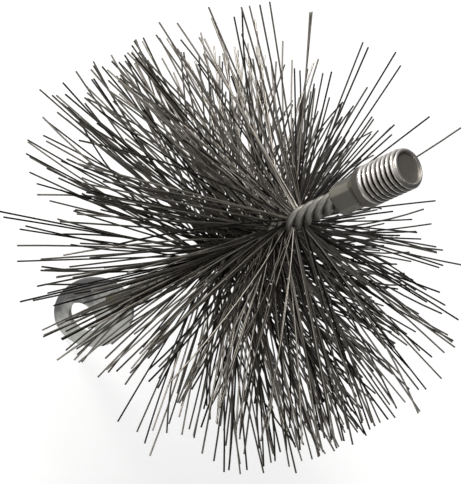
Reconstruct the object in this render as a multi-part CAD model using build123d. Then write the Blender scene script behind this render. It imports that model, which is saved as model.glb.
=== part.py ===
from build123d import *
from itertools import combinations, product
from math import atan2, copysign, cos, degrees, dist, pi, radians, sin, sqrt, tan
import os

# Chimney sweep brush: a twisted wire core full of steel bristles, with a threaded ferrule at one end
# and an oval eye plate at the other. Millimetres. The core lies along Z, the thread points to +Z, the
# origin is on the axis where the thread starts, and the eye plate lies in the XZ plane.

# Threaded end of the ferrule
thread_diameter = 12.0
thread_pitch = 1.75
thread_groove_count = 7
thread_first_groove_z = 1.275
thread_crest_share = 1 / 8
thread_root_share = 1 / 6
thread_flank_angle = 30.0
thread_nose_start_z = 13.4
ferrule_tip_z = 14.5
tip_rim_diameter = 10.9
tip_dish_diameter = 9.4
tip_dish_depth = 0.8

# Collar, square crimp and socket of the ferrule
collar_length = 2.0
crimp_length = 10.0
crimp_corner_diameter = 9.9
crimp_flat_width = 8.6
crimp_shoulder_radius = 2.5
crimp_turn_angle = 3.5
socket_depth = 8.5
socket_clearance = 0.1

# The four core wires, laid round each other in a left-handed twist
core_wire_diameter = 2.1
core_lay_radius = 2.05
core_twist_pitch = 16.2
core_straight_length = 2.9
core_entry_length = 3.6
core_entry_turn_angle = 40.0
core_exit_length = 5.2
core_exit_turn_angle = 65.0
core_end_angle = 135.0
core_end_spacing = 2.4

# Eye plate and its weld
plate_width = 22.6
plate_length = 34.0
plate_thickness = 1.5
plate_edge_round = 0.25
plate_inner_end_z = -104.7
eye_diameter = 10.6
eye_centre_z = -126.6
weld_overlap = 7.0
weld_lead_in = 0.5
weld_root_gap = 0.2
weld_bead_length = 6.2
weld_bead_width = 6.6
weld_bead_height = 2.2
weld_bead_round = 1.4
weld_toe = 1.6
weld_clearance = 0.1

# Bristles, caught in the cross between the core wires in slices of a sixth of a turn
bristle_front_z = -28.0
bristle_tuft_count = 15
tuft_turn_angle = 60.0
bristles_per_side = 6
bristle_thickness = 0.4
bristle_reach_radius = 70.0
bristle_root_radius = 3.1
bristle_root_margin = 0.25
backing_width = 6.8
backing_thickness = 0.2
tips_front_z = -34.0
tips_back_z = -72.0
bent_back_length = 11.0
bent_back_heading_angle = -48.0
bent_back_spread_angle = 100.0
bristle_lean_stray_angle = 1.6
bristle_side_stray_angle = 1.6
bristle_bend_least_angle = 3.0
bristle_bend_spread_angle = 2.0
bristle_roll_turns = 5
bristle_short_share = 0.1
side_wave_share = 0.41
lean_wave_share = 0.41
bend_wave_share = 0.43
length_wave_share = 0.27

# Points for each arc or bristle when the gaps are measured
wire_sample_count = 4
bristle_sample_count = 16

# One overrun serves every cut.
cut_overrun = 1.0

eighth_turn_angle = 45.0
quarter_turn_angle = 90.0
half_turn_angle = 180.0
full_turn_angle = 360.0

# Sizes that follow from those above
thread_radius = thread_diameter / 2
thread_flank_length = thread_pitch * (1 - thread_crest_share - thread_root_share) / 2
thread_groove_depth = thread_flank_length / tan(radians(thread_flank_angle))
collar_rear_z = -collar_length
ferrule_rear_z = collar_rear_z - crimp_length
core_wire_radius = core_wire_diameter / 2
core_outer_radius = core_lay_radius + core_wire_radius
socket_floor_z = ferrule_rear_z + socket_depth
socket_radius = core_outer_radius + socket_clearance
plate_centre_z = plate_inner_end_z - plate_length / 2
wire_offset_at_plate = plate_thickness / 2 + weld_root_gap + core_wire_radius
wire_end_z = plate_inner_end_z - weld_overlap
exit_straight_z = plate_inner_end_z + weld_lead_in
twist_start_z = socket_floor_z - core_straight_length - core_entry_length
twist_end_z = exit_straight_z + core_exit_length
twist_quarter_count = round((twist_start_z - twist_end_z) / (core_twist_pitch / 4))
lay_pitch = (twist_start_z - twist_end_z) * 4 / twist_quarter_count
tuft_length = lay_pitch * tuft_turn_angle / full_turn_angle
wire_angles = [number * quarter_turn_angle for number in range(4)]
bristle_count = len(wire_angles) * bristle_tuft_count * bristles_per_side
bristle_back_z = bristle_front_z - bristle_tuft_count * tuft_length
bristle_length = bristle_reach_radius - bristle_root_radius


def lay_angle(z):
    """Angle of the first core wire about the axis at a height z, in degrees."""
    turned_back = full_turn_angle * (z - twist_end_z) / lay_pitch
    return core_end_angle - core_exit_turn_angle - turned_back


def polar(radius, angle, z):
    return Vector(radius * cos(radians(angle)), radius * sin(radians(angle)), z)


def lay_point(z, side_angle):
    return polar(core_lay_radius, lay_angle(z) + side_angle, z)


def lay_direction(z, side_angle):
    """Direction of a core wire at a height z, towards the eye plate."""
    along = polar(2 * pi * core_lay_radius, lay_angle(z) + side_angle + quarter_turn_angle, -lay_pitch)
    return along.normalized()


def plate_point(side_angle, z):
    """Place of a core wire's straight end, one of the two side by side on each face of the plate."""
    corner = radians(core_end_angle + side_angle)
    x = copysign(core_end_spacing / 2, cos(corner))
    return Vector(x, copysign(wire_offset_at_plate, sin(corner)), z)


def biarc(start, start_direction, end, end_direction):
    """Two tangent arcs from one point and direction to another."""
    chord = end - start
    both = start_direction + end_direction
    a = 2 * (start_direction.dot(end_direction) - 1)
    b = -2 * chord.dot(both)
    c = chord.dot(chord)
    reach = 2 * c / (-b + sqrt(b * b - 4 * a * c))
    near_start = start + start_direction * reach
    near_end = end - end_direction * reach
    joint = (near_start + near_end) / 2
    first = Edge.make_tangent_arc(start, start_direction, joint)
    second = Edge.make_tangent_arc(joint, (near_end - near_start).normalized(), end)
    return [first, second]


def core_wire_path(side_angle):
    """Centre line of a core wire, from the socket's floor to its cut end on the eye plate."""
    down = Vector(0, 0, -1)
    entry_angle = lay_angle(twist_start_z) + side_angle - core_entry_turn_angle
    top = polar(core_lay_radius, entry_angle, socket_floor_z)
    entry = polar(core_lay_radius, entry_angle, socket_floor_z - core_straight_length)
    leave = plate_point(side_angle, exit_straight_z)
    end = plate_point(side_angle, wire_end_z)
    edges = [Edge.make_line(top, entry)]
    z = twist_start_z
    edges += biarc(entry, down, lay_point(z, side_angle), lay_direction(z, side_angle))
    for _ in range(twist_quarter_count):
        z_next = z - lay_pitch / 4
        here = (lay_point(z, side_angle), lay_direction(z, side_angle))
        there = (lay_point(z_next, side_angle), lay_direction(z_next, side_angle))
        edges += biarc(*here, *there)
        z = z_next
    edges += biarc(lay_point(z, side_angle), lay_direction(z, side_angle), leave, down)
    edges.append(Edge.make_line(leave, end))
    return edges


def sweep_wire(side_angle):
    path = Wire(core_wire_path(side_angle))
    start = Plane(origin=path @ 0, z_dir=path % 0)
    return sweep(start * Circle(core_wire_radius), path=path)


def thread_outline():
    """Outside of the threaded end in the XZ plane, from the collar's rear to the tip's rim."""
    rear_radius = crimp_corner_diameter / 2
    root_radius = thread_radius - thread_groove_depth
    crest_half = (1 - thread_crest_share) * thread_pitch / 2
    root_half = thread_root_share * thread_pitch / 2
    points = [(rear_radius, ferrule_rear_z), (rear_radius, collar_rear_z - crimp_shoulder_radius)]
    points.append((thread_radius, collar_rear_z))
    for turn in range(thread_groove_count):
        middle = thread_first_groove_z + turn * thread_pitch
        points.append((thread_radius, middle - crest_half))
        points.append((root_radius, middle - root_half))
        points.append((root_radius, middle + root_half))
        points.append((thread_radius, middle + crest_half))
    points.append((thread_radius, thread_nose_start_z))
    points.append((tip_rim_diameter / 2, ferrule_tip_z))
    return points


def crimp_jaw():
    """The space that one jaw of the crimping tool takes up, with a round shoulder at the collar."""
    flat = crimp_flat_width / 2
    outside = thread_radius + cut_overrun
    shoulder_z = collar_rear_z - crimp_shoulder_radius
    rear = ferrule_rear_z - cut_overrun
    rise = crimp_shoulder_radius
    bottom = Line((flat, rear), (flat, shoulder_z))
    shoulder = JernArc(bottom @ 1, bottom % 1, rise, -quarter_turn_angle)
    top = Polyline(shoulder @ 1, (outside + rise, collar_rear_z), (outside + rise, rear), bottom @ 0)
    profile = make_face(Plane.XZ * (bottom + shoulder + top))
    return extrude(profile, amount=outside, both=True)


def make_threaded_ferrule():
    points = [(0, ferrule_rear_z)] + thread_outline() + [(0, ferrule_tip_z)]
    body = revolve(make_face(Plane.XZ * Polyline(*points, close=True)), axis=Axis.Z)
    for side in range(4):
        body -= Rot(0, 0, crimp_turn_angle + side * quarter_turn_angle) * crimp_jaw()
    dish_floor = Plane.XY.offset(ferrule_tip_z - tip_dish_depth)
    body -= extrude(dish_floor * Circle(tip_dish_diameter / 2), amount=tip_dish_depth + cut_overrun)
    mouth = Plane.XY.offset(ferrule_rear_z - cut_overrun)
    body -= extrude(mouth * Circle(socket_radius), amount=socket_depth + cut_overrun)
    return body


def make_eye_plate():
    outline = Plane.XZ * (Pos(0, plate_centre_z) * Ellipse(plate_width / 2, plate_length / 2))
    plate = extrude(outline, amount=plate_thickness / 2, both=True)
    plate = fillet(plate.edges(), plate_edge_round)
    hole = Plane.XZ * (Pos(0, eye_centre_z) * Circle(eye_diameter / 2))
    return plate - extrude(hole, amount=plate_thickness, both=True)


def make_weld_bead(side_angle):
    """A bead on one face of the plate, heaped round the ends of the two wires that lie there."""
    length = weld_bead_length + weld_toe
    middle = Vector(0, plate_thickness / 2, wire_end_z - weld_toe + length / 2)
    face = Plane(origin=middle, x_dir=(0, 0, 1), z_dir=(0, 1, 0))
    bead = extrude(face * SlotOverall(length, weld_bead_width), amount=weld_bead_height)
    crown = bead.edges().group_by(Axis.Y)[-1]
    bead = fillet(crown, weld_bead_round)
    channel_radius = core_wire_radius + weld_clearance
    channel_width = core_end_spacing + 2 * channel_radius
    depth = wire_offset_at_plate - plate_thickness / 2
    channel = Pos(0, wire_offset_at_plate) * SlotOverall(channel_width, 2 * channel_radius)
    channel += Pos(0, wire_offset_at_plate - depth / 2) * Rectangle(channel_width, depth)
    cut = extrude(Plane.XY.offset(wire_end_z - weld_clearance) * channel, amount=length + cut_overrun)
    return Rot(0, 0, side_angle) * (bead - cut)


def wave(number, step_share):
    """A smooth, even spread of values from -1 to 1 along a row of bristles."""
    return sin(2 * pi * number * step_share)


def bristle_height(tuft, number):
    step = (tuft_length - 2 * bristle_root_margin) / (bristles_per_side - 1)
    return bristle_front_z - tuft * tuft_length - bristle_root_margin - number * step


def bristle_lean(z, heading):
    """Angle that a bristle rises or falls from its root, bent back most in the front on one side."""
    away = abs((heading - bent_back_heading_angle + half_turn_angle) % full_turn_angle - half_turn_angle)
    bent_share = cos(radians(quarter_turn_angle * min(1, away / bent_back_spread_angle))) ** 2
    front_z = tips_front_z - bent_back_length * bent_share
    back_share = (bristle_front_z - z) / (bristle_front_z - bristle_back_z)
    tip_z = front_z + (tips_back_z - front_z) * back_share
    return degrees(atan2(tip_z - z, bristle_length))


def bristle_course(tuft, number, side):
    """Root, direction, side of the bend, bend angle and bend radius of one bristle."""
    z = bristle_height(tuft, number)
    order = (len(wire_angles) * tuft + side) * bristles_per_side + number
    heading = lay_angle(z) + eighth_turn_angle + wire_angles[side]
    root = polar(bristle_root_radius, heading, z)
    aim = heading + bristle_side_stray_angle * wave(order, side_wave_share)
    lean = bristle_lean(z, heading) + bristle_lean_stray_angle * wave(order, lean_wave_share)
    outward = polar(cos(radians(lean)), aim, sin(radians(lean)))
    sideways = polar(1, aim + quarter_turn_angle, 0)
    roll = radians(heading * bristle_roll_turns)
    bend_side = sideways * cos(roll) + outward.cross(sideways) * sin(roll)
    bend = bristle_bend_least_angle + bristle_bend_spread_angle * (1 + wave(order, bend_wave_share)) / 2
    short_share = bristle_short_share * (1 + wave(order, length_wave_share)) / 2
    length = bristle_length * (1 - short_share)
    return root, outward, bend_side, bend, length / radians(bend)


def bristle_points(tuft, number, side):
    """Points on the centre line of one bristle, at even distances from its root."""
    root, outward, bend_side, bend, bend_radius = bristle_course(tuft, number, side)
    points = []
    for step in range(bristle_sample_count + 1):
        turned = bristle_length / bend_radius * step / bristle_sample_count
        along = outward * sin(turned) + bend_side * (1 - cos(turned))
        points.append(tuple(root + along * bend_radius))
    return points


def make_bristle(tuft, number, side):
    """One bristle, gently bent along an arc, from inside the backing to its tip."""
    root, outward, bend_side, bend, bend_radius = bristle_course(tuft, number, side)
    start = Plane(origin=root, x_dir=bend_side, z_dir=outward)
    section = start * Rectangle(bristle_thickness, bristle_thickness)
    pivot = Axis(root + bend_side * bend_radius, outward.cross(bend_side))
    return Solid.revolve(section.face(), bend, pivot)


def make_backing(tuft):
    """The twisted cross between the four core wires that the bristles of one tuft are held in."""
    top = Vector(0, 0, bristle_front_z - tuft * tuft_length)
    across = polar(1, lay_angle(top.Z) + eighth_turn_angle, 0)
    cross = Rectangle(backing_width, backing_thickness) + Rectangle(backing_thickness, backing_width)
    section = Plane(origin=top, x_dir=across, z_dir=(0, 0, -1)) * cross
    down = Vector(0, 0, -tuft_length)
    return Solid.extrude_linear_with_rotation(section.face(), top, down, -tuft_turn_angle)


def make_bristle_tuft(tuft):
    places = product(range(bristles_per_side), range(len(wire_angles)))
    strands = [make_bristle(tuft, *place) for place in places]
    return make_backing(tuft).fuse(*strands)


def print_wire_gaps():
    """Least gap between two of the core wires, measured on points."""
    lines = []
    for side_angle in wire_angles:
        edges = core_wire_path(side_angle)
        shares = [step / wire_sample_count for step in range(wire_sample_count)]
        lines.append([tuple(edge @ share) for edge in edges for share in shares])
    least = min(dist(*pair) for first, second in combinations(lines, 2) for pair in product(first, second))
    print("core wires, least gap between them", round(least - core_wire_diameter, 3))


def print_bristle_gap():
    """Least gap between two bristles, measured on points of their centre lines."""
    places = product(range(bristle_tuft_count), range(bristles_per_side), range(len(wire_angles)))
    strands = [bristle_points(*place) for place in places]
    least = min(dist(*pair) for first, second in combinations(strands, 2) for pair in zip(first, second))
    print("bristles", bristle_count, "least gap", round(least - bristle_thickness, 3))


os.makedirs("parts", exist_ok=True)
export_step(make_threaded_ferrule(), "parts/threaded_ferrule.step")
for letter, side_angle in zip("abcd", wire_angles):
    export_step(sweep_wire(side_angle), f"parts/core_wire_{letter}.step")
export_step(make_eye_plate(), "parts/eye_plate.step")
export_step(make_weld_bead(0), "parts/eye_weld_front.step")
export_step(make_weld_bead(half_turn_angle), "parts/eye_weld_back.step")
for tuft in range(bristle_tuft_count):
    export_step(make_bristle_tuft(tuft), f"parts/bristle_tuft_{tuft + 1:02d}.step")
print_wire_gaps()
print_bristle_gap()
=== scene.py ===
"""Chimney sweep brush: a steel wire brush head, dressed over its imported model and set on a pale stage."""

import math
import random

import bmesh
import bpy
from bpy.props import FloatProperty, FloatVectorProperty, IntProperty, PointerProperty
from mathutils import Matrix, Vector


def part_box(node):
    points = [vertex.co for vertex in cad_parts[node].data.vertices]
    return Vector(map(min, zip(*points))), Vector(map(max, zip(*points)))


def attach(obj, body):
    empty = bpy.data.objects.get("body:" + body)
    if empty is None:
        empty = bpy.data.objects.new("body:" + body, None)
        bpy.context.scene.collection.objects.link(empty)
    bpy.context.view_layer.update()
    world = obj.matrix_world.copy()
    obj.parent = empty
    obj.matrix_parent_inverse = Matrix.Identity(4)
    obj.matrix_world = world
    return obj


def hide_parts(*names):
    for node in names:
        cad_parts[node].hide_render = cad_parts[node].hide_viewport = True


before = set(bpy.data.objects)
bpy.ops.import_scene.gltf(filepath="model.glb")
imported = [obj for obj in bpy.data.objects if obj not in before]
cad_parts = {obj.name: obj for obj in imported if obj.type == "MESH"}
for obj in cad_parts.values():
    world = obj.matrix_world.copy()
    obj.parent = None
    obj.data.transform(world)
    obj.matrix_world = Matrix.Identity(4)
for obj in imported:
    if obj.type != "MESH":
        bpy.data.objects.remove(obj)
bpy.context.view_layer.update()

bl_info = {
    "name": "Chimney Sweep Brush",
    "version": (1, 0, 0),
    "blender": (4, 5, 0),
    "location": "View3D > Sidebar > Sweep Brush",
    "description": "Builds the looks of a steel wire chimney sweep brush",
    "category": "Add Mesh",
}

MM = 0.001
BODY = "root"
TURN = 2 * math.pi
QUARTER = TURN / 4
CORE_NODES = sorted(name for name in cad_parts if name.startswith("core_wire_"))
TUFT_NODES = sorted(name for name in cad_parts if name.startswith("bristle_tuft_"))
WELD_NODES = ("eye_weld_front", "eye_weld_back")
FERRULE_LOW, FERRULE_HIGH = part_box("threaded_ferrule")
PLATE_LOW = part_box("eye_plate")[0]
MERGE_DISTANCE = 0.0005 * MM

# The core makes five and a half turns on its way from the ferrule to the eye
CORE_LENGTH = 89.0 * MM
CORE_TURNS = 5.5


# Settings


class FerruleSettings(bpy.types.PropertyGroup):
    thread_radius: FloatProperty(
        name="Thread radius", description="Radius over the crests", default=FERRULE_HIGH.x, unit="LENGTH")
    thread_pitch: FloatProperty(
        name="Thread pitch", description="Rise of one turn", default=1.75 * MM, unit="LENGTH")
    thread_depth: FloatProperty(
        name="Thread depth", description="Depth of the groove", default=1.08 * MM, unit="LENGTH")
    crest_share: FloatProperty(
        name="Crest share", description="Flat of a crest as a share of the pitch", default=0.16, min=0,
        max=1, subtype="FACTOR")
    root_share: FloatProperty(
        name="Root share", description="Flat of a root as a share of the pitch", default=0.14, min=0,
        max=1, subtype="FACTOR")
    first_groove: FloatProperty(
        name="First groove", description="Height of the first full groove", default=1.275 * MM,
        unit="LENGTH")
    first_crest: FloatProperty(
        name="First crest", description="Turns from the first crest's rear to the first groove", default=0.62)
    runout_start: FloatProperty(
        name="Runout start", description="Height where the groove begins to cut in", default=0.1 * MM,
        unit="LENGTH")
    runout_length: FloatProperty(
        name="Runout length", description="Length over which the groove gets its depth", default=1.3 * MM,
        unit="LENGTH")
    nose_start: FloatProperty(
        name="Nose start", description="Height where the nose's chamfer starts", default=13.4 * MM,
        unit="LENGTH")
    rim_radius: FloatProperty(
        name="Rim radius", description="Radius of the end's rim", default=5.45 * MM, unit="LENGTH")
    dish_radius: FloatProperty(
        name="Dish radius", description="Radius of the dished end", default=4.7 * MM, unit="LENGTH")
    dish_depth: FloatProperty(
        name="Dish depth", description="Depth of the dished end", default=0.8 * MM, unit="LENGTH")
    collar_rear: FloatProperty(
        name="Collar rear", description="Height of the collar's rear edge", default=-2.0 * MM, unit="LENGTH")
    # Painted shade on the plain collar, as a share from a crest's colour towards the groove colour
    collar_painted_shade: FloatProperty(
        name="Collar shade", description="Shade of the collar, from a crest's to a groove's", default=0.6,
        min=0, max=1, subtype="FACTOR")
    corner_radius: FloatProperty(
        name="Corner radius", description="Radius over the crimp's corners", default=4.95 * MM, unit="LENGTH")
    flat_radius: FloatProperty(
        name="Flat radius", description="Distance of a crimp flat from the axis", default=4.3 * MM,
        unit="LENGTH")
    # The pressed flats' painted shade is full at this depth under the corners
    pressed_depth: FloatProperty(
        name="Pressed depth", description="Depth under the corners where pressed steel is fully dull",
        default=0.12 * MM, unit="LENGTH")
    shoulder: FloatProperty(
        name="Shoulder", description="Radius of the crimp's shoulders", default=2.5 * MM, unit="LENGTH")
    crimp_turn: FloatProperty(
        name="Crimp turn", description="Turn of the first flat", default=math.radians(3.5), subtype="ANGLE")
    socket_radius: FloatProperty(
        name="Socket radius", description="Radius of the socket", default=3.25 * MM, unit="LENGTH")
    socket_depth: FloatProperty(
        name="Socket depth", description="Depth of the socket", default=8.5 * MM, unit="LENGTH")
    steel_colour: FloatVectorProperty(
        name="Plated steel", description="Bright plated steel", default=(0.76, 0.73, 0.69), subtype="COLOR")
    # Groove colour: painted shade in the thread's grooves, partly dark oil and oxide; the collar takes it as
    # painted shade too
    groove_oxide_and_shade_colour: FloatVectorProperty(
        name="Groove", description="Dark oxide in the grooves", default=(0.045, 0.038, 0.033),
        subtype="COLOR")
    # Dished end: dull steel darkened with painted shade for the recess
    dish_steel_and_shade_colour: FloatVectorProperty(
        name="Dished end", description="Dull steel of the dished end", default=(0.18, 0.165, 0.147),
        subtype="COLOR")
    # Painted shade on the crimp's pressed flats, and painted light on its corners
    flat_painted_shade_colour: FloatVectorProperty(
        name="Crimped steel", description="Dull steel of the pressed flats", default=(0.17, 0.162, 0.145),
        subtype="COLOR")
    corner_painted_light_colour: FloatVectorProperty(
        name="Crimp corners", description="Steel of the crimp's corners", default=(0.34, 0.325, 0.28),
        subtype="COLOR")


class CoreSettings(bpy.types.PropertyGroup):
    lay_pitch: FloatProperty(
        name="Lay pitch", description="Rise of one turn of the core", default=CORE_LENGTH / CORE_TURNS,
        unit="LENGTH")
    lay_end: FloatProperty(
        name="Lay end", description="Height where the twist ends at the eye", default=-99.0 * MM,
        unit="LENGTH")
    lay_end_angle: FloatProperty(
        name="Lay end angle", description="Direction of the first wire at the end of the twist",
        default=math.radians(70), subtype="ANGLE")
    wire_colour: FloatVectorProperty(
        name="Core steel", description="Dull steel of the core", default=(0.36, 0.352, 0.315),
        subtype="COLOR")


class EyeSettings(bpy.types.PropertyGroup):
    plate_colour: FloatVectorProperty(
        name="Galvanised steel", description="Zinc coat of the plate", default=(0.66, 0.67, 0.63),
        subtype="COLOR")
    # Painted shade along one long edge of the plate: its colour, where it sets in, where it is full and how
    # far it wanders
    plate_shade_colour: FloatVectorProperty(
        name="Stained zinc", description="Zinc gone dark", default=(0.16, 0.16, 0.165), subtype="COLOR")
    plate_shade_start: FloatProperty(
        name="Stain start", description="Distance from the plate's middle line where the stain sets in",
        default=0.5 * MM, unit="LENGTH")
    plate_shade_full: FloatProperty(
        name="Stain full", description="Distance from the plate's middle line where the stain is full",
        default=7.5 * MM, unit="LENGTH")
    plate_shade_wander: FloatProperty(
        name="Stain wander", description="How far patches move the stain's edge in all", default=20.0 * MM,
        unit="LENGTH")


class WeldSettings(bpy.types.PropertyGroup):
    ripple_pitch: FloatProperty(
        name="Ripple pitch", description="Distance from one ripple to the next", default=1.15 * MM,
        unit="LENGTH")
    ripple_height: FloatProperty(
        name="Ripple height", description="Height of a ripple over the bead", default=0.11 * MM,
        unit="LENGTH")
    ripple_bow: FloatProperty(
        name="Ripple bow", description="How far a ripple bows at 1 mm from the bead's middle",
        default=0.12 * MM, unit="LENGTH")
    weld_colour: FloatVectorProperty(
        name="Weld steel", description="Scaled weld steel", default=(0.16, 0.14, 0.09), subtype="COLOR")


class BristleSettings(bpy.types.PropertyGroup):
    zone_front: FloatProperty(
        name="Zone front", description="Height of the first bristle", default=-28.0 * MM, unit="LENGTH")
    zone_back: FloatProperty(
        name="Zone back", description="Height of the last bristle", default=-68.4 * MM, unit="LENGTH")
    tips_front: FloatProperty(
        name="Tips front", description="Height of the foremost tips", default=-34.0 * MM, unit="LENGTH")
    tips_back: FloatProperty(
        name="Tips back", description="Height of the rearmost tips", default=-72.0 * MM, unit="LENGTH")
    swept_back: FloatProperty(
        name="Swept back", description="How far the tips of one side are swept back", default=11.0 * MM,
        unit="LENGTH")
    swept_angle: FloatProperty(
        name="Swept angle", description="Direction that is swept back most", default=math.radians(-48),
        subtype="ANGLE")
    swept_spread: FloatProperty(
        name="Swept spread", description="How far to each side bristles are swept back",
        default=math.radians(100), subtype="ANGLE")
    bare_length: FloatProperty(
        name="Bare length", description="How much further the core is bare on one side", default=4.6 * MM,
        unit="LENGTH")
    bare_angle: FloatProperty(
        name="Bare angle", description="Direction that is bare furthest", default=math.radians(80.5),
        subtype="ANGLE")
    bare_spread: FloatProperty(
        name="Bare spread", description="How far to each side the core is bare", default=math.radians(75),
        subtype="ANGLE")
    per_row: IntProperty(
        name="Bristles per row", description="Places of one tuft in each gap of the core", default=17, min=4)
    full_angle: FloatProperty(
        name="Full angle", description="Direction in which the rows are fullest", default=math.radians(-121),
        subtype="ANGLE")
    full_spread: FloatProperty(
        name="Full spread", description="How far to each side the rows are fuller",
        default=math.radians(105), subtype="ANGLE")
    thin_share: FloatProperty(
        name="Thin share", description="Share of the bristles left where rows are thin", default=0.57,
        min=0, max=1, subtype="FACTOR")
    # Painted light: more of the bristles are bright on one side round the core
    painted_light_angle: FloatProperty(
        name="Bright angle", description="Direction in which more of the bristles are bright",
        default=math.radians(28), subtype="ANGLE")
    painted_light_spread: FloatProperty(
        name="Bright spread", description="How far to each side more of the bristles are bright",
        default=math.radians(92), subtype="ANGLE")
    worn_angle: FloatProperty(
        name="Worn angle", description="Direction in which the tips are worn shortest",
        default=math.radians(120), subtype="ANGLE")
    worn_spread: FloatProperty(
        name="Worn spread", description="How far to each side the tips are worn", default=math.radians(55),
        subtype="ANGLE")
    worn_share: FloatProperty(
        name="Worn share", description="Share of their length that the most worn tips lost", default=0.12,
        min=0, max=1, subtype="FACTOR")
    short_share: FloatProperty(
        name="Short share", description="Share of the bristles that are broken short", default=0.2,
        min=0, max=1, subtype="FACTOR")
    lock_count: IntProperty(
        name="Lock count", description="Bristles in the lock that hangs over the eye", default=22, min=0)
    radius: FloatProperty(
        name="Wire radius", description="Radius of one bristle", default=0.265 * MM, unit="LENGTH")
    root_radius: FloatProperty(
        name="Root radius", description="Where a bristle leaves the core", default=2.7 * MM, unit="LENGTH")
    root_spread: FloatProperty(
        name="Root spread", description="Half thickness of the row between the wires", default=0.42 * MM,
        unit="LENGTH")
    reach: FloatProperty(
        name="Reach", description="Radius of the longest tips", default=69.0 * MM, unit="LENGTH")
    dark_colour: FloatVectorProperty(
        name="Dark bristles", description="Oil-blackened spring steel", default=(0.012, 0.01, 0.0081),
        subtype="COLOR")
    light_colour: FloatVectorProperty(
        name="Light bristles", description="Bare spring steel", default=(0.42, 0.392, 0.35), subtype="COLOR")


class StageSettings(bpy.types.PropertyGroup):
    lens: FloatProperty(name="Lens", description="Focal length in millimetres", default=163.6, unit="CAMERA")
    floor_size: FloatProperty(name="Floor size", description="Side of the floor", default=6.0, unit="LENGTH")
    floor_gap: FloatProperty(
        name="Floor gap", description="How far the floor lies below the plate", default=0.2 * MM,
        unit="LENGTH")
    floor_colour: FloatVectorProperty(
        name="Floor", description="Pale floor", default=(0.9, 0.9, 0.9), subtype="COLOR")
    key_power: FloatProperty(
        name="Key power", description="Power of the main lamp in watts", default=10.0, unit="POWER")
    fill_power: FloatProperty(
        name="Fill power", description="Power of the fill lamp in watts", default=1.6, unit="POWER")


# Shared helpers


def settings(name):
    """One of the groups of settings above, as it stands in the scene."""
    return getattr(bpy.context.scene, name)


def clamp(value):
    """A value held between 0 and 1."""
    return min(max(value, 0), 1)


def new_object(name, data):
    piece = bpy.data.objects.new(name, data)
    bpy.context.scene.collection.objects.link(piece)
    return piece


def select_only(piece):
    bpy.ops.object.select_all(action="DESELECT")
    piece.select_set(True)
    bpy.context.view_layer.objects.active = piece


def close_mesh(piece, crease):
    """Merge a piece's doubled corners, turn its faces outwards and smooth it up to its creases."""
    select_only(piece)
    bpy.ops.object.mode_set(mode="EDIT")
    bpy.ops.mesh.select_all(action="SELECT")
    bpy.ops.mesh.remove_doubles(threshold=MERGE_DISTANCE)
    bpy.ops.mesh.normals_make_consistent(inside=False)
    bpy.ops.object.mode_set(mode="OBJECT")
    bpy.ops.object.shade_smooth_by_angle(angle=crease)


def lay_angle(z):
    """Direction of the first core wire at one height."""
    core = settings("sweep_core")
    return core.lay_end_angle - TURN * (z - core.lay_end) / core.lay_pitch


def put_material(piece, *materials):
    piece.data.materials.clear()
    for material in materials:
        piece.data.materials.append(material)


def finish_piece(piece, nodes):
    """Let a piece ride on the body and stand for its nodes, which are hidden."""
    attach(piece, BODY)
    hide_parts(*nodes)


# Shader node groups and materials

TARNISH = "Tarnish"
TARNISH_SHARPNESS = 0.3
BUMP_DEPTH = 0.05 * MM


def new_group(name, inputs, outputs):
    group = bpy.data.node_groups.new(name, "ShaderNodeTree")
    for title, kind, value in inputs:
        socket = group.interface.new_socket(title, in_out="INPUT", socket_type=kind)
        socket.default_value = value
    for title, kind in outputs:
        group.interface.new_socket(title, in_out="OUTPUT", socket_type=kind)
    return group


def add_node(tree, kind, **values):
    """Add a node. A value whose name starts with in_ goes to that input, and any other to the node itself."""
    node = tree.nodes.new(kind)
    for key, value in values.items():
        if key.startswith("in_"):
            title = key.removeprefix("in_").replace("_", " ")
            node.inputs[int(title) if title.isdigit() else title].default_value = value
        else:
            setattr(node, key, value)
    return node


def tarnish_group():
    """Mottled tarnish: a mask of large and small patches, and a fine height."""
    group = new_group(
        TARNISH,
        [("Scale", "NodeSocketFloat", 250.0), ("Sharpness", "NodeSocketFloat", TARNISH_SHARPNESS)],
        [("Mask", "NodeSocketFloat"), ("Height", "NodeSocketFloat")])
    source = add_node(group, "NodeGroupInput")
    sink = add_node(group, "NodeGroupOutput")
    place = add_node(group, "ShaderNodeTexCoord")
    patches = add_node(group, "ShaderNodeTexNoise", in_Detail=6.0, in_Roughness=0.62)
    grain = add_node(group, "ShaderNodeTexNoise", in_Detail=3.0, in_Roughness=0.7)
    finer = add_node(group, "ShaderNodeMath", operation="MULTIPLY", in_1=9.0)
    low = add_node(group, "ShaderNodeMath", operation="SUBTRACT", in_0=0.5)
    high = add_node(group, "ShaderNodeMath", operation="ADD", in_1=0.5)
    spread = add_node(group, "ShaderNodeMapRange")
    link = group.links.new
    link(place.outputs["Object"], patches.inputs["Vector"])
    link(place.outputs["Object"], grain.inputs["Vector"])
    link(source.outputs["Scale"], patches.inputs["Scale"])
    link(source.outputs["Scale"], finer.inputs[0])
    link(finer.outputs[0], grain.inputs["Scale"])
    link(source.outputs["Sharpness"], low.inputs[1])
    link(source.outputs["Sharpness"], high.inputs[0])
    link(patches.outputs["Fac"], spread.inputs["Value"])
    link(low.outputs[0], spread.inputs["From Min"])
    link(high.outputs[0], spread.inputs["From Max"])
    link(spread.outputs["Result"], sink.inputs["Mask"])
    link(grain.outputs["Fac"], sink.inputs["Height"])
    return group


def place_tarnish(tree, scale):
    """Place the tarnish in a material, with patches of its own size."""
    node = add_node(tree, "ShaderNodeGroup", node_tree=bpy.data.node_groups.get(TARNISH) or tarnish_group())
    node.inputs["Scale"].default_value = scale
    node.inputs["Sharpness"].default_value = TARNISH_SHARPNESS
    return node


def start_material(name):
    material = bpy.data.materials.new(name)
    material.use_nodes = True
    tree = material.node_tree
    return material, tree, tree.nodes["Principled BSDF"]


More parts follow.
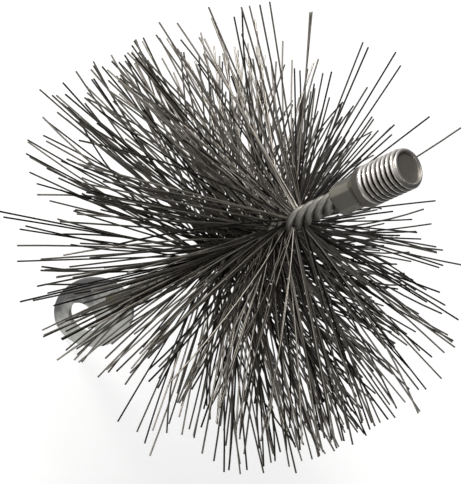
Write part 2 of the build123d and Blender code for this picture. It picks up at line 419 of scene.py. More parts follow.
def metal_material(name, colour, dark_share, roughness, metallic, scale, bump):
    """Metal with tarnish patches that darken and dull it."""
    material, tree, shader = start_material(name)
    link = tree.links.new
    dark = [channel * dark_share for channel in colour]
    tarnish = place_tarnish(tree, scale)
    mix = add_node(tree, "ShaderNodeMix", data_type="RGBA", in_A=(*colour, 1), in_B=(*dark, 1))
    rough = add_node(tree, "ShaderNodeMapRange", in_To_Min=roughness[0], in_To_Max=roughness[1])
    height = add_node(tree, "ShaderNodeBump", in_Strength=bump, in_Distance=BUMP_DEPTH)
    link(tarnish.outputs["Mask"], mix.inputs["Factor"])
    link(tarnish.outputs["Mask"], rough.inputs["Value"])
    link(tarnish.outputs["Height"], height.inputs["Height"])
    link(mix.outputs["Result"], shader.inputs["Base Color"])
    link(rough.outputs["Result"], shader.inputs["Roughness"])
    link(height.outputs["Normal"], shader.inputs["Normal"])
    shader.inputs["Metallic"].default_value = metallic
    return material


def lay_colour_over(tree, mask, colour):
    """Lay a colour over a material's own one, as strongly as a mask says."""
    base = tree.nodes["Principled BSDF"].inputs["Base Color"]
    over = add_node(tree, "ShaderNodeMix", data_type="RGBA", in_B=(*colour, 1))
    tree.links.new(mask, over.inputs["Factor"])
    tree.links.new(base.links[0].from_socket, over.inputs["A"])
    tree.links.new(over.outputs["Result"], base)


def thread_material(ferrule):
    """Bright plated crests, with painted shade and dark oil and oxide in the grooves, and painted shade on
    the collar.
    """
    material = metal_material(
        "plated_steel", ferrule.steel_colour, dark_share=0.72, roughness=(0.26, 0.4), metallic=1.0,
        scale=260.0, bump=0.2)
    tree = material.node_tree
    # The sunk attribute carries the painted shade of the grooves and the collar
    groove = add_node(tree, "ShaderNodeAttribute", attribute_name="sunk")
    edge = add_node(
        tree, "ShaderNodeMapRange", interpolation_type="SMOOTHSTEP", in_From_Min=0.1, in_From_Max=0.75)
    tree.links.new(groove.outputs["Fac"], edge.inputs["Value"])
    lay_colour_over(tree, edge.outputs["Result"], ferrule.groove_oxide_and_shade_colour)
    return material


def crimp_material(ferrule):
    """Plated steel with painted light on the crimp's corners and painted shade on the flats that the jaws
    pressed.
    """
    material = metal_material(
        "crimped_steel", ferrule.corner_painted_light_colour, dark_share=0.7, roughness=(0.38, 0.55), metallic=0.9,
        scale=220.0, bump=0.4)
    tree = material.node_tree
    # Painted shade laid over the pressed flats
    pressed = add_node(tree, "ShaderNodeAttribute", attribute_name="sunk")
    lay_colour_over(tree, pressed.outputs["Fac"], ferrule.flat_painted_shade_colour)
    return material


def dish_material(ferrule):
    """Dull steel darkened with painted shade for the recess, with the fine rings of the tool that faced it.
    """
    material = metal_material(
        "dished_end", ferrule.dish_steel_and_shade_colour, dark_share=0.62, roughness=(0.42, 0.62), metallic=0.75,
        scale=500.0, bump=0.4)
    tree = material.node_tree
    normal = tree.nodes["Principled BSDF"].inputs["Normal"]
    place = add_node(tree, "ShaderNodeTexCoord")
    rings = add_node(
        tree, "ShaderNodeTexWave", wave_type="RINGS", rings_direction="Z", in_Scale=520.0, in_Distortion=1.4,
        in_Detail=2.0)
    turned = add_node(tree, "ShaderNodeBump", in_Strength=0.35, in_Distance=0.03 * MM)
    tree.links.new(place.outputs["Object"], rings.inputs["Vector"])
    tree.links.new(rings.outputs["Fac"], turned.inputs["Height"])
    tree.links.new(normal.links[0].from_socket, turned.inputs["Normal"])
    tree.links.new(turned.outputs["Normal"], normal)
    return material


def core_material(core):
    """Drawn steel wire, gone dull in patches."""
    return metal_material(
        "core_steel", core.wire_colour, dark_share=0.55, roughness=(0.36, 0.6), metallic=0.9, scale=240.0,
        bump=0.35)


def zinc_material(eye):
    """Mottled zinc with painted shade along one long edge of the plate."""
    material = metal_material(
        "galvanised_steel", eye.plate_colour, dark_share=0.78, roughness=(0.38, 0.6), metallic=0.7,
        scale=230.0, bump=0.3)
    tree = material.node_tree
    link = tree.links.new
    place = add_node(tree, "ShaderNodeTexCoord")
    spot = add_node(tree, "ShaderNodeSeparateXYZ")
    blotch = add_node(tree, "ShaderNodeTexNoise", in_Scale=150.0, in_Detail=4.0)
    shift = add_node(tree, "ShaderNodeMath", operation="MULTIPLY_ADD", in_1=eye.plate_shade_wander)
    half = eye.plate_shade_wander / 2
    edge = add_node(
        tree, "ShaderNodeMapRange", interpolation_type="SMOOTHSTEP", in_From_Min=eye.plate_shade_start + half,
        in_From_Max=eye.plate_shade_full + half)
    link(place.outputs["Object"], spot.inputs[0])
    link(place.outputs["Object"], blotch.inputs["Vector"])
    link(blotch.outputs["Fac"], shift.inputs[0])
    link(spot.outputs["X"], shift.inputs[2])
    link(shift.outputs[0], edge.inputs["Value"])
    # Painted shade laid along the plate's edge
    lay_colour_over(tree, edge.outputs["Result"], eye.plate_shade_colour)
    return material


def weld_material(weld):
    """Steel of a weld bead under a rough brown scale."""
    return metal_material(
        "weld_steel", weld.weld_colour, dark_share=0.5, roughness=(0.42, 0.7), metallic=0.75, scale=500.0,
        bump=0.8)


def bristle_material(bristles):
    """Spring steel whose tone differs at random from wire to wire and along each wire, with painted light
    making more wires bright on one side.
    """
    material, tree, shader = start_material("bristle_steel")
    link = tree.links.new
    tone = add_node(tree, "ShaderNodeAttribute", attribute_name="tone")
    tarnish = place_tarnish(tree, scale=160.0)
    dark, light = (*bristles.dark_colour, 1), (*bristles.light_colour, 1)
    mix = add_node(tree, "ShaderNodeMix", data_type="RGBA", in_A=dark, in_B=light)
    worn = add_node(tree, "ShaderNodeMix", data_type="RGBA", blend_type="MULTIPLY", in_Factor=0.3)
    rough = add_node(tree, "ShaderNodeMapRange", in_To_Min=0.34, in_To_Max=0.5)
    link(tone.outputs["Fac"], mix.inputs["Factor"])
    link(mix.outputs["Result"], worn.inputs["A"])
    link(tarnish.outputs["Mask"], worn.inputs["B"])
    link(worn.outputs["Result"], shader.inputs["Base Color"])
    link(tarnish.outputs["Mask"], rough.inputs["Value"])
    link(rough.outputs["Result"], shader.inputs["Roughness"])
    shader.inputs["Metallic"].default_value = 1.0
    return material


# Threaded ferrule

COLUMNS_AROUND = 128
ROWS_PER_THREAD = 18
CRIMP_ROW_STEP = 0.35 * MM
FERRULE_CREASE = math.radians(28)

# The ferrule's materials by their place in its list, after the plated steel
CRIMPED, DISHED = 1, 2
DISH_INSET = 0.05 * MM

# Lengths that the rounded edges of the crimp and the nose take, and the rows of the two round floors
CRIMP_EDGE_LENGTH = 0.4 * MM
NOSE_EDGE_LENGTH = 0.15 * MM
SOCKET_FLOOR_CORNER = 0.2 * MM
SOCKET_FLOOR_SHARES = (0.0, 0.5, 0.96)
DISH_FLOOR_SHARES = (0.8, 0.4, 0.0)

# Rounded edges: each point's depth from the end face and its change of radius, in millimetres
SOCKET_EDGE = ((0.3, 0), (0, 0.25))
CRIMP_EDGE = ((0, -0.35), (0.12, -0.1))
NOSE_EDGE = ((0.08, -0.02), (0, -0.14))
DISH_EDGE = ((0, 0.16), (0.1, 0), (0.5, -0.08), (0.72, -0.3))


def thread_dip(ferrule, angle, z):
    """How far the thread's surface lies below its crest at a place on the stud."""
    turns = (z - ferrule.first_groove) / ferrule.thread_pitch - angle / TURN
    away = abs(turns - round(turns))
    root = ferrule.root_share / 2
    crest = 0.5 - ferrule.crest_share / 2
    dip = 1 - clamp((away - root) / (crest - root))
    runout = clamp((z - ferrule.runout_start) / ferrule.runout_length)
    return ferrule.thread_depth * dip * runout


def stud_radius(ferrule, angle, z):
    """Radius of the collar, the thread and its chamfered nose."""
    chamfer = (ferrule.thread_radius - ferrule.rim_radius) / (FERRULE_HIGH.z - ferrule.nose_start)
    nose = ferrule.thread_radius - max(0, z - ferrule.nose_start) * chamfer
    return min(ferrule.thread_radius - thread_dip(ferrule, angle, z), nose)


def crimp_radius(ferrule, angle, z):
    """Radius of the crimped length, with four flats that rise to the collar in round shoulders."""
    start = ferrule.collar_rear - ferrule.shoulder
    rise = max(0, z - start)
    body = ferrule.corner_radius
    body += (ferrule.thread_radius - body) * min(1, rise / ferrule.shoulder)
    sink = ferrule.shoulder - math.sqrt(max(0, ferrule.shoulder ** 2 - rise ** 2))
    off = (angle - ferrule.crimp_turn + QUARTER / 2) % QUARTER - QUARTER / 2
    return min(body, (ferrule.flat_radius + sink) / math.cos(off))


def edge_rows(edge, face_z, inward, radius, shape):
    """Rows of a rounded edge. Inward is 1 where the steel lies above the end face, and -1 below it."""
    return [(face_z + inward * depth * MM, radius + change * MM, shape) for depth, change in edge]


def stepped_rows(start, stop, step, shape):
    """Evenly spaced rows along the crimp or the stud."""
    rows = []
    z = start
    while z < stop:
        rows.append((z, 0, shape))
        z += step
    return rows


def ferrule_rows(ferrule):
    """The outline from the socket's floor out and up to the dish, as height, radius and shape.

    On the crimp and the stud, a change of radius stands in the radius's place.
    """
    rear, tip = FERRULE_LOW.z, FERRULE_HIGH.z
    floor = rear + ferrule.socket_depth
    step = ferrule.thread_pitch / ROWS_PER_THREAD
    rows = [(floor, ferrule.socket_radius * share, "round") for share in SOCKET_FLOOR_SHARES]
    rows.append((floor - SOCKET_FLOOR_CORNER, ferrule.socket_radius, "round"))
    rows += edge_rows(SOCKET_EDGE, rear, 1, ferrule.socket_radius, "round")
    rows += edge_rows(CRIMP_EDGE, rear, 1, 0, "crimp")
    rows += stepped_rows(rear + CRIMP_EDGE_LENGTH, ferrule.collar_rear, CRIMP_ROW_STEP, "crimp")
    rows += stepped_rows(ferrule.collar_rear, tip - NOSE_EDGE_LENGTH, step, "stud")
    rows += edge_rows(NOSE_EDGE, tip, -1, 0, "stud")
    rows += edge_rows(DISH_EDGE, tip, -1, ferrule.dish_radius, "round")
    rows += [(tip - ferrule.dish_depth, ferrule.dish_radius * share, "round") for share in DISH_FLOOR_SHARES]
    return rows


def ferrule_radius(ferrule, row, angle):
    """Radius of one row in one direction."""
    z, value, shape = row
    if shape == "round":
        return value
    if shape == "crimp":
        return crimp_radius(ferrule, angle, z) + value
    return stud_radius(ferrule, angle, z) + value


def thread_rear(ferrule):
    """Height where the plain collar ends and the thread's first crest begins."""
    return ferrule.first_groove - ferrule.first_crest * ferrule.thread_pitch


def painted_shade_share(ferrule, row, radius):
    """Painted shade from 0 to 1 of a place in the thread's grooves, on a pressed flat of the crimp or on the
    collar; in the grooves it also stands for dark oil and oxide.
    """
    z, shape = row[0], row[2]
    if shape == "stud" and z < thread_rear(ferrule):
        return ferrule.collar_painted_shade
    if shape == "stud" and z < ferrule.nose_start:
        return (ferrule.thread_radius - radius) / ferrule.thread_depth
    if shape == "crimp":
        return min(1, (ferrule.corner_radius - radius) / ferrule.pressed_depth)
    return 0


class SWEEP_OT_add_ferrule(bpy.types.Operator):
    """Add the threaded ferrule with its square crimp and dished end"""

    bl_idname = "sweep.add_ferrule"
    bl_label = "Add Threaded Ferrule"

    def execute(self, context):
        ferrule = settings("sweep_ferrule")
        rows = ferrule_rows(ferrule)
        last = len(rows) - 1
        bpy.ops.object.select_all(action="DESELECT")
        bpy.ops.mesh.primitive_grid_add(x_subdivisions=COLUMNS_AROUND, y_subdivisions=last, size=2)
        piece = context.active_object
        piece.name = "threaded_ferrule_steel"
        start = ferrule.crimp_turn + QUARTER / 2
        # Painted shade for each corner: in the grooves, on the pressed flats and on the collar
        sunk = []
        for vertex in piece.data.vertices:
            column = round((vertex.co.x + 1) / 2 * COLUMNS_AROUND)
            row = rows[round((vertex.co.y + 1) / 2 * last)]
            angle = start + TURN * column / COLUMNS_AROUND
            radius = ferrule_radius(ferrule, row, angle)
            vertex.co = (radius * math.cos(angle), radius * math.sin(angle), row[0])
            sunk.append(painted_shade_share(ferrule, row, radius))
        piece.data.attributes.new("sunk", "FLOAT", "POINT").data.foreach_set("value", sunk)
        close_mesh(piece, FERRULE_CREASE)
        put_material(piece, thread_material(ferrule), crimp_material(ferrule), dish_material(ferrule))
        for face in piece.data.polygons:
            inner = face.center.xy.length < ferrule.dish_radius - DISH_INSET
            if face.center.z < ferrule.collar_rear:
                face.material_index = CRIMPED
            elif face.center.z > ferrule.nose_start and inner:
                face.material_index = DISHED
        finish_piece(piece, ["threaded_ferrule"])
        return {"FINISHED"}


# Core wires, eye plate and welds

BEAD_SEGMENTS = 56
BEAD_RINGS = 40
BEAD_CREASE = math.radians(50)

# How far a bead's foot sinks into the plate, and the room over its crown for ripples and lumps
BEAD_SINK = 0.05 * MM
BEAD_HEADROOM = 0.12 * MM

# How quickly ripples and lumps come in from the edge of a bead
BEAD_EDGE_FADE = 1.6

# Powers under 1 make the bead fuller than a ball at its sides, its ends and its crown
SIDE_POWER = 0.85
END_POWER = 0.8
CROWN_POWER = 0.75

# Lumps on a bead: places and heights in millimetres, and spread in square millimetres
LUMP_COUNT = 7
LUMP_PLACES = (-2, 2)
LUMP_HEIGHTS = (0.04, 0.13)
LUMP_SPREAD = 0.8


class SWEEP_OT_finish_core(bpy.types.Operator):
    """Give the four core wires their dull drawn steel"""

    bl_idname = "sweep.finish_core"
    bl_label = "Finish Core Wires"

    def execute(self, context):
        steel = core_material(settings("sweep_core"))
        for name in CORE_NODES:
            put_material(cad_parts[name], steel)
        return {"FINISHED"}


class SWEEP_OT_finish_eye(bpy.types.Operator):
    """Give the eye plate its zinc coat"""

    bl_idname = "sweep.finish_eye"
    bl_label = "Finish Eye Plate"

    def execute(self, context):
        put_material(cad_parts["eye_plate"], zinc_material(settings("sweep_eye")))
        return {"FINISHED"}


def ripple(weld, along, across):
    """Height of a weld's ripples, each a shallow arc across the bead, from -1 to 1."""
    return math.sin(TURN * (along + weld.ripple_bow * (across / MM) ** 2) / weld.ripple_pitch)


def bead_height(weld, lumps, full_height, x, z, crown):
    """Height of a bead over the plate, whose ripples and lumps fade out towards its edge."""
    swell = weld.ripple_height * ripple(weld, z, x)
    for across, along, size in lumps:
        away = (x / MM - across) ** 2 + (z / MM - along) ** 2
        swell += size * MM * math.exp(-away / LUMP_SPREAD)
    return (full_height - BEAD_HEADROOM) * crown + swell * min(1, crown * BEAD_EDGE_FADE)


def add_bead(weld, name, node):
    """A heaped, rippled bead that fills the box of one weld node, its foot sunk into the plate's face."""
    low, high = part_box(node)
    outer, face = (high.y, low.y) if abs(high.y) > abs(low.y) else (low.y, high.y)
    bpy.ops.object.select_all(action="DESELECT")
    bpy.ops.mesh.primitive_uv_sphere_add(segments=BEAD_SEGMENTS, ring_count=BEAD_RINGS, radius=1)
    piece = bpy.context.active_object
    piece.name = name
    middle = (low + high) / 2
    half = (high - low) / 2
    draw = random.Random(len(name) + round(outer / MM))
    lumps = []
    for number in range(LUMP_COUNT):
        lumps.append((draw.uniform(*LUMP_PLACES), draw.uniform(*LUMP_PLACES), draw.uniform(*LUMP_HEIGHTS)))
    for vertex in piece.data.vertices:
        spot = vertex.co.copy()
        x = half.x * math.copysign(abs(spot.x) ** SIDE_POWER, spot.x)
        z = half.z * math.copysign(abs(spot.z) ** END_POWER, spot.z)
        crown = max(0, spot.y) ** CROWN_POWER
        height = bead_height(weld, lumps, abs(outer - face), x, z, crown)
        if height <= 0:
            height = -BEAD_SINK
        vertex.co = (middle.x + x, face + math.copysign(1, outer) * height, middle.z + z)
    close_mesh(piece, BEAD_CREASE)
    return piece


class SWEEP_OT_add_welds(bpy.types.Operator):
    """Add the two rippled weld beads that hold the core wires to the plate"""

    bl_idname = "sweep.add_welds"
    bl_label = "Add Welds"

    def execute(self, context):
        weld = settings("sweep_weld")
        scale = weld_material(weld)
        for node in WELD_NODES:
            piece = add_bead(weld, node + "_bead", node)
            put_material(piece, scale)
            finish_piece(piece, [node])
        return {"FINISHED"}


# Bristles

SEED = 5
WIRE_SIDES = 6
WIRE_SEGMENTS = 8
WIRE_CREASE = math.radians(70)

# How much single bristles differ
LENGTH_SPREAD = 0.07
LEAN_SPREAD = math.radians(3.6)
YAW_SPREAD = math.radians(4.2)
BEND_SPREAD = math.radians(11.0)
LEAST_BEND = 0.004
SHORT_LENGTHS = (0.6, 0.92)
WORN_POWER = 0.5
TONE_POWER = 1.8

# Clumps of bristles that stray together
CLUMP_SIZES = (2, 5)
CLUMP_LEAN = math.radians(3.2)
CLUMP_YAW = math.radians(3.8)

# The lock over the eye: headings in degrees, heights of its roots in millimetres, and the mean and spread
# of its lean and yaw in degrees
LOCK_HEADINGS = (68, 88)
LOCK_HEIGHTS = (-50, -66)
LOCK_LEAN = (-9, 4)
LOCK_YAW = (0, 1.5)

# Bristles that stand out by themselves: heading in degrees, and the tip's height and radius in millimetres
STRAYS = (
    (-144, -30, 69), (-140, -33, 66), (-128, -34, 67), (-90, -21, 68), (-88, -35, 67), (-90, -37, 68),
    (-84, -39, 67), (-74, -18, 67), (-70, -16, 67), (-66, -24, 69), (-64, -24, 69), (-47.6, -26.3, 69),
    (-47.1, -26.5, 68.6), (-36, -30, 69), (-35, -33, 69), (-33, -35, 69), (-30, -35, 68), (-22, -39, 69),
    (-54, -45, 62), (-57, -44, 62), (-61, -38, 56), (-63, -38, 62), (-65, -37, 64), (-68, -38, 56),
    (-76, -36, 56), (-82, -35, 62), (-79, -44, 66), (11, -75, 67), (22, -71, 66), (27, -76, 66),
    (4, -86, 69), (48, -79, 69.5), (50, -77, 69), (55, -70, 69), (62, -73, 69), (71, -76, 69),
)

# Strays with tips in front of the parting are rooted near the zone's front, and the others near its back
STRAY_PARTING = -45 * MM
STRAY_FRONT_INSET = 1.5 * MM
STRAY_BACK_INSET = 5 * MM
STRAY_BENDS = (0.01, 0.05)
STRAY_TONES = (0, 0.2)


def bristle_template(sides, segments):
    """A unit wire along Z from 0 to 1, returned as corner places and faces."""
    bpy.ops.object.select_all(action="DESELECT")
    bpy.ops.mesh.primitive_cylinder_add(vertices=sides, radius=1, depth=1, location=(0, 0, 0.5))
    template = bpy.context.active_object
    bpy.ops.object.mode_set(mode="EDIT")
    shape = bmesh.from_edit_mesh(template.data)
    for edge in shape.edges:
        edge.select = abs(edge.verts[0].co.z - edge.verts[1].co.z) > 0.5
    bmesh.update_edit_mesh(template.data)
    bpy.ops.mesh.subdivide(number_cuts=segments - 1)
    bpy.ops.object.mode_set(mode="OBJECT")
    corners = [template.matrix_world @ vertex.co for vertex in template.data.vertices]
    faces = [tuple(face.vertices) for face in template.data.polygons]
    bpy.data.objects.remove(template)
    return corners, faces


def turned_away(heading, other):
    """Angle between two directions round the core, from 0 to a half turn."""
    return abs((heading - other + math.pi) % TURN - math.pi)


def nearness(heading, angle, spread):
    """1 in one direction round the core, falling evenly to 0 a spread away on both sides."""
    return max(0, 1 - turned_away(heading, angle) / spread)


def swept_share(bristles, heading):
    """How strongly the bristles of one direction are swept back, from 0 to 1."""
    away = turned_away(heading, bristles.swept_angle)
    return math.cos(QUARTER * min(1, away / bristles.swept_spread)) ** 2


def is_bare(bristles, draw, z, heading):
    """Whether a place in a row stays empty, in front of the bristles or where they are thin."""
    bare = nearness(heading, bristles.bare_angle, bristles.bare_spread)
    full = nearness(heading, bristles.full_angle, bristles.full_spread)
    thinned = draw.random() > bristles.thin_share + (1 - bristles.thin_share) * full
    return thinned or z > bristles.zone_front - bristles.bare_length * bare


def bristle_tone(bristles, draw, heading):
    """Brightness of one bristle from 0 to 1, of which most are dark except on one side, where painted light
    makes more of them bright.
    """
    # Painted light raises the tones on one side
    bright = nearness(heading, bristles.painted_light_angle, bristles.painted_light_spread)
    return draw.random() ** (TONE_POWER - bright)


def outward_way(heading):
    """Unit direction that leads straight away from the core."""
    return Vector((math.cos(heading), math.sin(heading), 0))


def bend_side(draw, outward):
    """Random direction to which a bristle bends, square to its own."""
    side = outward.orthogonal().normalized()
    side.rotate(Matrix.Rotation(draw.uniform(0, TURN), 3, outward))
    return side


def bristle_course(bristles, draw, z, heading, stray):
    """Root, direction, bend side, bend and length of one bristle."""
    radial = outward_way(heading)
    around = Vector((-math.sin(heading), math.cos(heading), 0))
    up = Vector((0, 0, 1))
    rise = settings("sweep_core").lay_pitch / TURN
    across = (around * rise + up * bristles.root_radius).normalized()
    root = radial * bristles.root_radius + up * z + across * draw.uniform(-1, 1) * bristles.root_spread
    share = (bristles.zone_front - z) / (bristles.zone_front - bristles.zone_back)
    front = bristles.tips_front - bristles.swept_back * swept_share(bristles, heading)
    tip_z = front + (bristles.tips_back - front) * share
    length = (bristles.reach - bristles.root_radius) * (1 - abs(draw.gauss(0, LENGTH_SPREAD)))
    worn = nearness(heading, bristles.worn_angle, bristles.worn_spread)
    length *= 1 - bristles.worn_share * worn * draw.random() ** WORN_POWER
    if draw.random() < bristles.short_share:
        length *= draw.uniform(*SHORT_LENGTHS)
    lean = math.atan2(tip_z - z, length) + stray[0] + draw.gauss(0, LEAN_SPREAD)
    yaw = stray[1] + draw.gauss(0, YAW_SPREAD)
    flat = radial * math.cos(yaw) + around * math.sin(yaw)
    outward = (flat * math.cos(lean) + up * math.sin(lean)).normalized()
    side = bend_side(draw, outward)
    bend = max(LEAST_BEND, abs(draw.gauss(0, BEND_SPREAD)))
    return root, outward, side, bend, length


def row_height(z, heading):
    """The height nearest to z at which a row of bristles points in one direction."""
    miss = (lay_angle(z) - heading) % QUARTER - QUARTER / 2
    return z + miss / TURN * settings("sweep_core").lay_pitch


def lock_course(bristles, draw):
    """Root height and course of one bristle of the lock that hangs over the eye."""
    heading = math.radians(draw.uniform(*LOCK_HEADINGS))
    z = row_height(draw.uniform(*LOCK_HEIGHTS) * MM, heading)
    stray = (math.radians(draw.gauss(*LOCK_LEAN)), math.radians(draw.gauss(*LOCK_YAW)))
    return z, bristle_course(bristles, draw, z, heading, stray)


def stray_course(bristles, draw, stray):
    """Root height and course of one bristle that stands out by itself, led to its own tip."""
    heading, tip_z, reach = math.radians(stray[0]), stray[1] * MM, stray[2] * MM
    front, back = bristles.zone_front - STRAY_FRONT_INSET, bristles.zone_back + STRAY_BACK_INSET
    z = row_height(front if tip_z > STRAY_PARTING else back, heading)
    radial = outward_way(heading)
    root = radial * bristles.root_radius + Vector((0, 0, z))
    reached = radial * reach + Vector((0, 0, tip_z)) - root
    outward = reached.normalized()
    side = bend_side(draw, outward)
    bend = draw.uniform(*STRAY_BENDS)
    outward.rotate(Matrix.Rotation(-bend / 2, 3, outward.cross(side)))
    side.rotate(Matrix.Rotation(-bend / 2, 3, outward.cross(side)))
    return z, (root, outward, side, bend, reached.length)


def odd_courses(bristles, draw, slice_length):
    """Courses and tones of the strays and the lock, as one list for each tuft."""
    placed = [(*stray_course(bristles, draw, stray), draw.uniform(*STRAY_TONES)) for stray in STRAYS]
    placed += [(*lock_course(bristles, draw), draw.random()) for number in range(bristles.lock_count)]
    tufts = [[] for node in TUFT_NODES]
    for z, course, tone in placed:
        order = int((bristles.zone_front - z) / slice_length)
        tufts[min(max(order, 0), len(TUFT_NODES) - 1)].append((course, tone))
    return tufts


def row_courses(bristles, draw, front, slice_length, row):
    """Courses and tones of one tuft's bristles in one gap of the core, in clumps that stray together."""
    courses = []
    left = 0
    for number in range(bristles.per_row):
        if left == 0:
            left = draw.randint(*CLUMP_SIZES)
            stray = (draw.gauss(0, CLUMP_LEAN), draw.gauss(0, CLUMP_YAW))
        left -= 1
        z = front - slice_length * (number + draw.random()) / bristles.per_row
        heading = lay_angle(z) + (row + 0.5) * QUARTER
        if not is_bare(bristles, draw, z, heading):
            course = bristle_course(bristles, draw, z, heading, stray)
            courses.append((course, bristle_tone(bristles, draw, heading)))
    return courses


def bend_wire(corners, course, radius, places):
    """Add the corners of the unit wire, laid along an arc."""
    root, outward, side, bend, length = course
    normal = outward.cross(side)
    arc = length / bend
    for corner in corners:
        turned = bend * corner.z
        sine, cosine = math.sin(turned), math.cos(turned)
        middle = root + outward * (arc * sine) + side * (arc * (1 - cosine))
        inward = side * cosine - outward * sine
        places.append(middle + inward * (corner.x * radius) + normal * (corner.y * radius))


def make_tuft(name, courses, radius, template):
    """One tuft as a single piece, each bristle its own closed wire with its tone on its corners."""
    corners, faces = template
    places, joined, shades = [], [], []
    for course, tone in courses:
        base = len(places)
        bend_wire(corners, course, radius, places)
        joined.extend(tuple(base + index for index in face) for face in faces)
        shades.extend([tone] * len(corners))
    mesh = bpy.data.meshes.new(name)
    mesh.from_pydata(places, [], joined)
    mesh.attributes.new("tone", "FLOAT", "POINT").data.foreach_set("value", shades)
    piece = new_object(name, mesh)
    select_only(piece)
    bpy.ops.object.shade_smooth_by_angle(angle=WIRE_CREASE)
    return piece


class SWEEP_OT_add_bristles(bpy.types.Operator):
    """Add the bristles of every tuft, gathered in clumps that stray together"""

    bl_idname = "sweep.add_bristles"
    bl_label = "Add Bristles"

    def execute(self, context):
        bristles = settings("sweep_bristles")
        draw = random.Random(SEED)
        template = bristle_template(WIRE_SIDES, WIRE_SEGMENTS)
        steel = bristle_material(bristles)
        slice_length = (bristles.zone_front - bristles.zone_back) / len(TUFT_NODES)
        tufts = odd_courses(bristles, draw, slice_length)
        for order, node in enumerate(TUFT_NODES):
            courses = tufts[order]
            front = bristles.zone_front - slice_length * order
            for row in range(len(CORE_NODES)):
                courses += row_courses(bristles, draw, front, slice_length, row)
            piece = make_tuft(node + "_wires", courses, bristles.radius, template)
            put_material(piece, steel)
            finish_piece(piece, [node])
        return {"FINISHED"}


# Stage

KEY_PLACE = Vector((0.65, 0.05, 0.55))
FILL_PLACE = Vector((-0.35, 0.75, 0.35))
LAMP_AIM = Vector((0, 0, -50 * MM))
STUDIO_BRIGHT_SIDE = Vector((1.0, -0.12, 0.05)).normalized()
WHITE = (1, 1, 1, 1)

# The camera's place, and the directions to its right and up
CAMERA_PLACE = Vector((81.375, 474.354, 376.667)) * MM
CAMERA_RIGHT = Vector((-0.51395, -0.52986, 0.67461))
CAMERA_UP = Vector((0.84900, -0.42665, 0.31171))
CAMERA_CLIP_START = 0.01


def add_lamp(name, place, size, power, colour):
    """A round soft lamp that points at the brush."""
    data = bpy.data.lights.new(name, "AREA")
    data.shape = "DISK"
    data.size = size
    data.energy = power
    data.color = colour
    lamp = new_object(name, data)
    lamp.location = place
    lamp.rotation_euler = (LAMP_AIM - place).to_track_quat("-Z", "Y").to_euler()


def add_camera(stage):
    """The camera that sees the brush as the photograph does."""
    back = CAMERA_RIGHT.cross(CAMERA_UP).normalized()
    up = back.cross(CAMERA_RIGHT).normalized()
    data = bpy.data.cameras.new("photo_camera")
    data.lens = stage.lens
    data.clip_start = CAMERA_CLIP_START
    camera = new_object("photo_camera", data)
    turn = Matrix((CAMERA_RIGHT, up, back)).transposed().to_4x4()
    camera.matrix_world = Matrix.Translation(CAMERA_PLACE) @ turn
    bpy.context.scene.camera = camera


def background_share(tree):
    """The Light Path node, and 1 for camera, glossy and transmission rays, which see the background."""
    link = tree.links.new
    path = add_node(tree, "ShaderNodeLightPath")
    either = add_node(tree, "ShaderNodeMath", operation="MAXIMUM")
    every = add_node(tree, "ShaderNodeMath", operation="MAXIMUM")
    link(path.outputs["Is Camera Ray"], either.inputs[0])
    link(path.outputs["Is Glossy Ray"], either.inputs[1])
    link(either.outputs[0], every.inputs[0])
    link(path.outputs["Is Transmission Ray"], every.inputs[1])
    return path, every.outputs[0]


def build_world():
    """White for the camera, and a soft studio from bright to dim for all that lights and mirrors."""
    world = bpy.data.worlds.new("studio")
    bpy.context.scene.world = world
    world.use_nodes = True
    tree = world.node_tree
    tree.nodes.clear()
    link = tree.links.new
    path, shown = background_share(tree)
    way = add_node(tree, "ShaderNodeTexCoord")
    facing = add_node(tree, "ShaderNodeVectorMath", operation="DOT_PRODUCT", in_1=STUDIO_BRIGHT_SIDE)
    fade = add_node(
        tree, "ShaderNodeMapRange", interpolation_type="SMOOTHSTEP", in_From_Min=-0.12, in_From_Max=0.8,
        in_To_Min=0.1, in_To_Max=0.85)
    lit = add_node(tree, "ShaderNodeBackground", in_Strength=0.4)
    seen = add_node(tree, "ShaderNodeBackground", in_Color=WHITE)
    mirrored = add_node(tree, "ShaderNodeBackground")
    pick_glossy = add_node(tree, "ShaderNodeMixShader")
    pick = add_node(tree, "ShaderNodeMixShader")
    output = add_node(tree, "ShaderNodeOutputWorld")
    link(way.outputs["Generated"], facing.inputs[0])
    link(facing.outputs["Value"], fade.inputs["Value"])
    link(fade.outputs["Result"], mirrored.inputs["Color"])
    link(fade.outputs["Result"], lit.inputs["Color"])
    link(path.outputs["Is Camera Ray"], pick_glossy.inputs["Fac"])
    link(mirrored.outputs[0], pick_glossy.inputs[1])
    link(seen.outputs[0], pick_glossy.inputs[2])
    link(shown, pick.inputs["Fac"])
    link(lit.outputs[0], pick.inputs[1])
    link(pick_glossy.outputs[0], pick.inputs[2])
    link(pick.outputs[0], output.inputs["Surface"])


def floor_material(colour):
    """A pale floor that the camera sees as white, with the brush's shadow left in."""
    material = bpy.data.materials.new("floor")
    material.use_nodes = True
    tree = material.node_tree
    tree.nodes.clear()
    link = tree.links.new
    path, shown = background_share(tree)
    plain = add_node(tree, "ShaderNodeBsdfDiffuse", in_Color=(*colour, 1))
    white = add_node(tree, "ShaderNodeEmission", in_Color=WHITE)
    shine = add_node(tree, "ShaderNodeMapRange", in_To_Min=0.45, in_To_Max=0.8)
    faint = add_node(tree, "ShaderNodeBsdfDiffuse", in_Color=(0.3, 0.3, 0.3, 1))
    soft = add_node(tree, "ShaderNodeAddShader")
    pick = add_node(tree, "ShaderNodeMixShader")
    output = add_node(tree, "ShaderNodeOutputMaterial")
    link(path.outputs["Is Camera Ray"], shine.inputs["Value"])
    link(shine.outputs["Result"], white.inputs["Strength"])
    link(faint.outputs[0], soft.inputs[0])
    link(white.outputs[0], soft.inputs[1])
    link(shown, pick.inputs["Fac"])
    link(plain.outputs[0], pick.inputs[1])
    link(soft.outputs[0], pick.inputs[2])
    link(pick.outputs[0], output.inputs["Surface"])
    return material


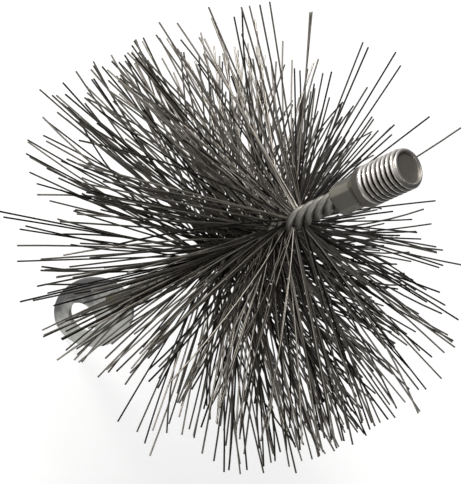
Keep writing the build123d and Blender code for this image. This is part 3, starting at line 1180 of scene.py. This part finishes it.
class SWEEP_OT_add_stage(bpy.types.Operator):
    """Add the pale floor, the soft lamps, the world and the camera"""

    bl_idname = "sweep.add_stage"
    bl_label = "Add Stage"

    def execute(self, context):
        stage = settings("sweep_stage")
        bpy.ops.object.select_all(action="DESELECT")
        height = PLATE_LOW.z - stage.floor_gap
        bpy.ops.mesh.primitive_plane_add(size=stage.floor_size, location=(0, 0, height))
        floor = context.active_object
        floor.name = "floor"
        put_material(floor, floor_material(stage.floor_colour))
        add_lamp("key_lamp", KEY_PLACE, size=0.35, power=stage.key_power, colour=(1.0, 0.98, 0.95))
        add_lamp("fill_lamp", FILL_PLACE, size=0.5, power=stage.fill_power, colour=(0.97, 0.98, 1.0))
        build_world()
        add_camera(stage)
        context.scene.view_settings.view_transform = "Standard"
        return {"FINISHED"}


class SWEEP_PT_panel(bpy.types.Panel):
    """Lists the steps that build the brush, and their settings"""

    bl_idname = "SWEEP_PT_panel"
    bl_label = "Sweep Brush"
    bl_space_type = "VIEW_3D"
    bl_region_type = "UI"
    bl_category = "Sweep Brush"

    def draw(self, context):
        for operator in OPERATORS:
            self.layout.operator(operator.bl_idname)
        for name in SETTINGS:
            group = getattr(context.scene, name)
            box = self.layout.box()
            for key in group.__annotations__:
                box.prop(group, key)


SETTINGS = {
    "sweep_ferrule": FerruleSettings,
    "sweep_core": CoreSettings,
    "sweep_eye": EyeSettings,
    "sweep_weld": WeldSettings,
    "sweep_bristles": BristleSettings,
    "sweep_stage": StageSettings,
}
OPERATORS = (
    SWEEP_OT_add_ferrule,
    SWEEP_OT_finish_core,
    SWEEP_OT_finish_eye,
    SWEEP_OT_add_welds,
    SWEEP_OT_add_bristles,
    SWEEP_OT_add_stage,
)
CLASSES = (*SETTINGS.values(), *OPERATORS, SWEEP_PT_panel)


def register():
    for item in CLASSES:
        bpy.utils.register_class(item)
    for name, group in SETTINGS.items():
        setattr(bpy.types.Scene, name, PointerProperty(type=group))


def unregister():
    for name in SETTINGS:
        delattr(bpy.types.Scene, name)
    for item in reversed(CLASSES):
        bpy.utils.unregister_class(item)


def main():
    register()
    bpy.ops.sweep.add_ferrule()
    bpy.ops.sweep.finish_core()
    bpy.ops.sweep.finish_eye()
    bpy.ops.sweep.add_welds()
    bpy.ops.sweep.add_bristles()
    bpy.ops.sweep.add_stage()


if __name__ == "__main__":
    main()
